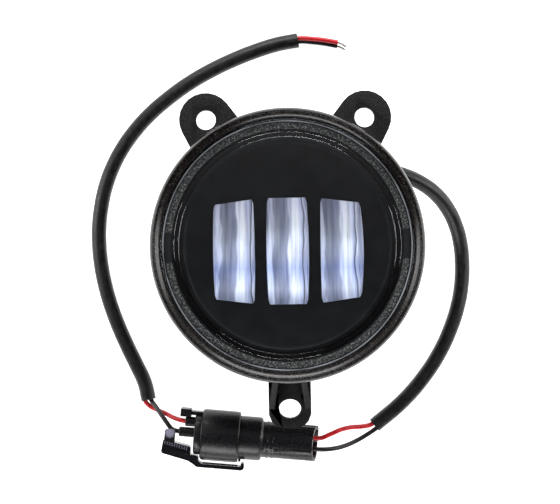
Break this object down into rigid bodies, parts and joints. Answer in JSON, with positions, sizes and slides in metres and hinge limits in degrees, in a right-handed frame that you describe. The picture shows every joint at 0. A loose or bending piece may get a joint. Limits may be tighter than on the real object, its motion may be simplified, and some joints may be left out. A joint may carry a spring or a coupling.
{
  "type": "fog light",
  "caption": "Round LED fog light with bolt-on ears, a trim ring, a clear lens over slatted windows and a finned back, its cable plugged into a looping adapter lead.",
  "frame": {"origin": "on the optical axis, at the tips of the cooling fins that the lamp rests on", "axes": "+Z along the optical axis, out of the lens; +Y up on the car; +X to the right for someone facing the lens"},
  "size_m": [0.1493, 0.1718, 0.06],
  "materials": {
    "powder_coat": "fine textured brown-black powder coat",
    "sand_coat": "coarse sand-textured black coat",
    "sink_metal": "black anodised casting",
    "clear_lens": "clear polycarbonate",
    "grey_bead": "matte silicone bead",
    "black_rubber": "matte",
    "mask_plastic": "satin black moulding",
    "metallised": "mirror-bright vacuum metallised moulding",
    "board_white": "white solder mask",
    "board_green": "green solder mask",
    "led_phosphor": "yellow phosphor",
    "thermal_pad": "soft grey pad",
    "ferrite": "matte ferrite",
    "capacitor_sleeve": "shrink sleeve",
    "chip_epoxy": "moulded epoxy",
    "plated_steel": "zinc plated",
    "nylon": "black moulded nylon",
    "connector_plastic": "satin black moulding",
    "seal_silicone": "orange silicone",
    "tinned_brass": "tin plated",
    "cable_sheath": "satin black PVC",
    "red_core": "satin red PVC",
    "black_core": "satin black PVC",
    "bare_strands": "tinned copper strands"
  },
  "bodies": {
    "lamp": {"bezel_ring": "powder_coat", "bezel_screw_1": "plated_steel", "bezel_screw_2": "plated_steel", "bezel_screw_3": "plated_steel", "bezel_screw_4": "plated_steel", "breather_vent": "nylon", "cable_gland": "nylon", "driver_board": "board_green", "driver_board_screw_left": "plated_steel", "driver_board_screw_right": "plated_steel", "driver_capacitor": "capacitor_sleeve", "driver_chip": "chip_epoxy", "driver_choke": "ferrite", "feed_wire_black": "black_core", "feed_wire_red": "red_core", "gland_nut": "nylon", "gland_seal": "black_rubber", "heatsink": "sink_metal", "heatsink_gasket": "black_rubber", "heatsink_screw_1": "plated_steel", "heatsink_screw_2": "plated_steel", "heatsink_screw_3": "plated_steel", "heatsink_screw_4": "plated_steel", "housing": "sand_coat", "lamp_cable": "cable_sheath", "lamp_wire_black": "black_core", "lamp_wire_red": "red_core", "led_board": "board_white", "led_board_screw_left": "plated_steel", "led_board_screw_right": "plated_steel", "led_lead_black": "black_core", "led_lead_red": "red_core", "led_left": "led_phosphor", "led_middle": "led_phosphor", "led_right": "led_phosphor", "lens": "clear_lens", "lens_gasket": "grey_bead", "plug_pin_1": "tinned_brass", "plug_pin_2": "tinned_brass", "plug_shell": "connector_plastic", "plug_wire_seal": "seal_silicone", "reflector": "metallised", "reflector_mask": "mask_plastic", "thermal_pad": "thermal_pad"},
    "adapter_lead": {"socket_shell": "connector_plastic", "socket_seal": "seal_silicone", "socket_terminal_1": "tinned_brass", "socket_terminal_2": "tinned_brass", "adapter_wire_red": "red_core", "adapter_wire_black": "black_core", "adapter_cable": "cable_sheath", "tail_wire_red": "red_core", "tail_wire_black": "black_core", "tail_strands_red": "bare_strands", "tail_strands_black": "bare_strands"},
    "release_latch": {"release_latch": "connector_plastic"}
  },
  "joints": [
    {"name": "adapter_pull", "type": "slide", "parent": "lamp", "child": "adapter_lead", "axis": [-0.9951, 0.0993, 0], "range_m": [0, 0.03]},
    {"name": "latch_press", "type": "hinge", "parent": "adapter_lead", "child": "release_latch", "pos_m": [-0.03692, -0.08278, 0.0087], "axis": [0, 0, -1], "range_deg": [0, 5], "stiffness_Nm_per_rad": 0.5}
  ]
}
